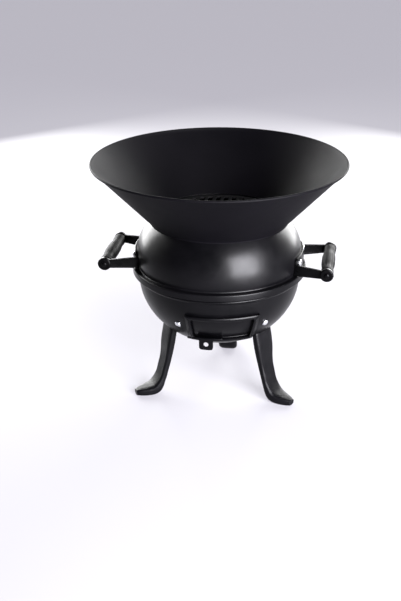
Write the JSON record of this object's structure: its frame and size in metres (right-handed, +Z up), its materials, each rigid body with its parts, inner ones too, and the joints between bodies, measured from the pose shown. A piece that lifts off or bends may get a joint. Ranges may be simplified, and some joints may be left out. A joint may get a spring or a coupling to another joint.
{
  "type": "ball charcoal brazier",
  "caption": "Ball-shaped charcoal brazier on cast legs, with a flared lift-off fire bowl, a sliding air damper and side handles with turned wood grips.",
  "frame": {"origin": "on the floor, on the vertical axis of the ball, under its centre", "axes": "+Z up; +X through the right handle; -Y to the front, where two of the three legs stand and the air vent sits 10 degrees towards +X"},
  "size_m": [0.4678, 0.4678, 0.4459],
  "materials": {
    "shell_paint": "satin black heat-resistant paint on pressed steel",
    "bowl_paint": "matt black heat-resistant paint, faint grain",
    "cast_grate": "blackened casting",
    "cast_legs": "casting under satin-matt black paint",
    "gloss_paint": "gloss black paint on a casting",
    "zinc": "bright zinc plate",
    "stained_wood": "dark grey-brown stain, satin"
  },
  "bodies": {
    "base": {"lower_shell": "shell_paint", "vent_frame": "shell_paint", "vent_backplate": "shell_paint", "vent_bolt_left": "zinc", "vent_nut_left": "zinc", "vent_bolt_right": "zinc", "vent_nut_right": "zinc", "leg_front_left": "cast_legs", "leg_bolt_front_left": "zinc", "leg_washer_front_left": "zinc", "leg_front_right": "cast_legs", "leg_bolt_front_right": "zinc", "leg_washer_front_right": "zinc", "leg_rear": "cast_legs", "leg_bolt_rear": "zinc", "leg_washer_rear": "zinc"},
    "damper": {"damper_plate": "shell_paint"},
    "upper": {"upper_shell": "shell_paint", "grate_lug_1": "shell_paint", "grate_lug_2": "shell_paint", "grate_lug_3": "shell_paint", "handle_bracket_left": "gloss_paint", "handle_grip_left": "stained_wood", "grip_rod_left": "gloss_paint", "grip_nut_left": "zinc", "handle_bolt_left_front": "zinc", "handle_nut_left_front": "zinc", "handle_bolt_left_rear": "zinc", "handle_nut_left_rear": "zinc", "handle_bracket_right": "gloss_paint", "handle_grip_right": "stained_wood", "grip_rod_right": "gloss_paint", "grip_nut_right": "zinc", "handle_bolt_right_front": "zinc", "handle_nut_right_front": "zinc", "handle_bolt_right_rear": "zinc", "handle_nut_right_rear": "zinc"},
    "bowl": {"fire_bowl": "bowl_paint"},
    "grate": {"charcoal_grate": "cast_grate"}
  },
  "joints": [
    {"name": "damper_slide", "type": "hinge", "parent": "base", "child": "damper", "pos_m": [0, 0, 0.172], "axis": [0, 0, 1], "range_deg": [0, 20]},
    {"name": "upper_lift", "type": "slide", "parent": "base", "child": "upper", "axis": [0, 0, 1], "range_m": [0, 0.12]},
    {"name": "bowl_lift", "type": "slide", "parent": "upper", "child": "bowl", "axis": [0, 0, 1], "range_m": [0, 0.1]},
    {"name": "grate_lift", "type": "slide", "parent": "upper", "child": "grate", "axis": [0, 0, 1], "range_m": [0, 0.14]}
  ]
}
